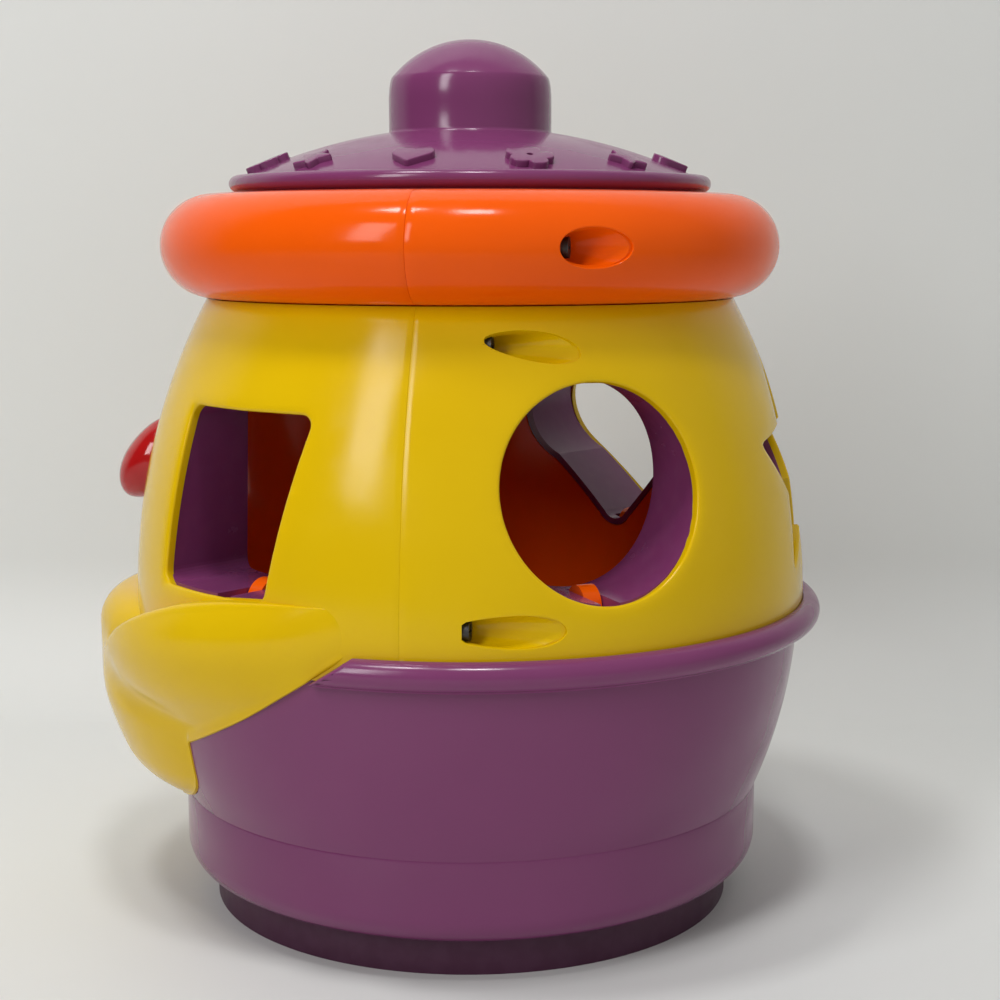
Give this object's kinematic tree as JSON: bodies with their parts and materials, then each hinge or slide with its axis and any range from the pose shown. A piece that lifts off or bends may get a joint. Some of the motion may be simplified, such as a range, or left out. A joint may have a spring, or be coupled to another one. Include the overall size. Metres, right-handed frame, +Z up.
{
  "type": "shape sorter cookie jar",
  "caption": "Plump toy cookie jar with shaped holes round a yellow shell, a smiling mouth, a press-in nose, a fat orange ring and a purple lift-off lid over a purple base.",
  "frame": {"origin": "centre of the foot's flat underside, on the floor", "axes": "+Z up along the jar's axis, the face looks along -Y, +X is the side with the square and round holes"},
  "size_m": [0.2174, 0.2279, 0.2629],
  "materials": {
    "purple": "smooth moulded plum-purple plastic, soft gloss",
    "dark_purple": "dark plum plastic, satin",
    "yellow": "smooth moulded warm yellow plastic, gloss",
    "orange": "smooth moulded orange plastic, gloss",
    "red": "smooth moulded red plastic, gloss",
    "steel": "plated steel",
    "black": "black plastic",
    "grey": "unpainted grey plastic",
    "cell": "plain dark cell jacket",
    "board": "green circuit board"
  },
  "bodies": {
    "jar": {"base_tub": "purple", "base_plate": "dark_purple", "base_screws": "steel", "battery_door": "dark_purple", "battery_door_screw": "steel", "batteries": "cell", "battery_contacts": "steel", "circuit_board": "board", "board_screws": "steel", "speaker": "black", "switch_housing": "black", "front_shell": "yellow", "back_shell": "yellow", "shell_screws": "steel", "deck_screws": "steel", "cookie_bin": "orange", "square_chute": "purple", "circle_chute": "purple", "star_chute": "purple", "heart_chute": "purple", "triangle_chute": "purple", "lever_pins": "steel", "lever_switches": "black", "nose_bracket": "grey", "nose_spring": "steel", "nose_switch": "black", "front_ring": "orange", "back_ring": "orange", "ring_screws": "steel"},
    "lid": {"lid_dome": "purple", "lid_knob": "purple", "knob_screw": "steel", "lid_plug": "purple", "lid_screws": "steel"},
    "nose": {"nose_button": "red"},
    "slider": {"power_slider": "orange"},
    "square_trigger": {"square_lever": "orange"},
    "circle_trigger": {"circle_lever": "orange"},
    "star_trigger": {"star_lever": "orange"},
    "heart_trigger": {"heart_lever": "orange"},
    "triangle_trigger": {"triangle_lever": "orange"}
  },
  "joints": [
    {"name": "lid_lift", "type": "slide", "parent": "jar", "child": "lid", "axis": [0, 0, 1], "range_m": [0, 0.08]},
    {"name": "nose_press", "type": "slide", "parent": "jar", "child": "nose", "axis": [0, 0.9798, -0.2], "range_m": [0, 0.0025], "stiffness_N_per_m": 800, "springref_m": -0.001, "deforming": ["nose_spring"]},
    {"name": "slider_slide", "type": "slide", "parent": "jar", "child": "slider", "axis": [1, 0, 0], "range_m": [-0.004, 0.004]},
    {"name": "square_press", "type": "hinge", "parent": "jar", "child": "square_trigger", "pos_m": [0.08184, -0.05114, 0.102], "axis": [-0.5299, -0.848, 0], "range_deg": [0, 11], "stiffness_Nm_per_rad": 0.03, "springref_deg": -5.73},
    {"name": "circle_press", "type": "hinge", "parent": "jar", "child": "circle_trigger", "pos_m": [0.08184, 0.05114, 0.103], "axis": [0.5299, -0.848, 0], "range_deg": [0, 11], "stiffness_Nm_per_rad": 0.03, "springref_deg": -5.73},
    {"name": "star_press", "type": "hinge", "parent": "jar", "child": "star_trigger", "pos_m": [0, 0.0965, 0.11225], "axis": [1, 0, 0], "range_deg": [0, 11], "stiffness_Nm_per_rad": 0.03, "springref_deg": -5.73},
    {"name": "heart_press", "type": "hinge", "parent": "jar", "child": "heart_trigger", "pos_m": [-0.08184, 0.05114, 0.10248], "axis": [0.5299, 0.848, 0], "range_deg": [0, 11], "stiffness_Nm_per_rad": 0.03, "springref_deg": -5.73},
    {"name": "triangle_press", "type": "hinge", "parent": "jar", "child": "triangle_trigger", "pos_m": [-0.08184, -0.05114, 0.10161], "axis": [-0.5299, 0.848, 0], "range_deg": [0, 11], "stiffness_Nm_per_rad": 0.03, "springref_deg": -5.73}
  ]
}
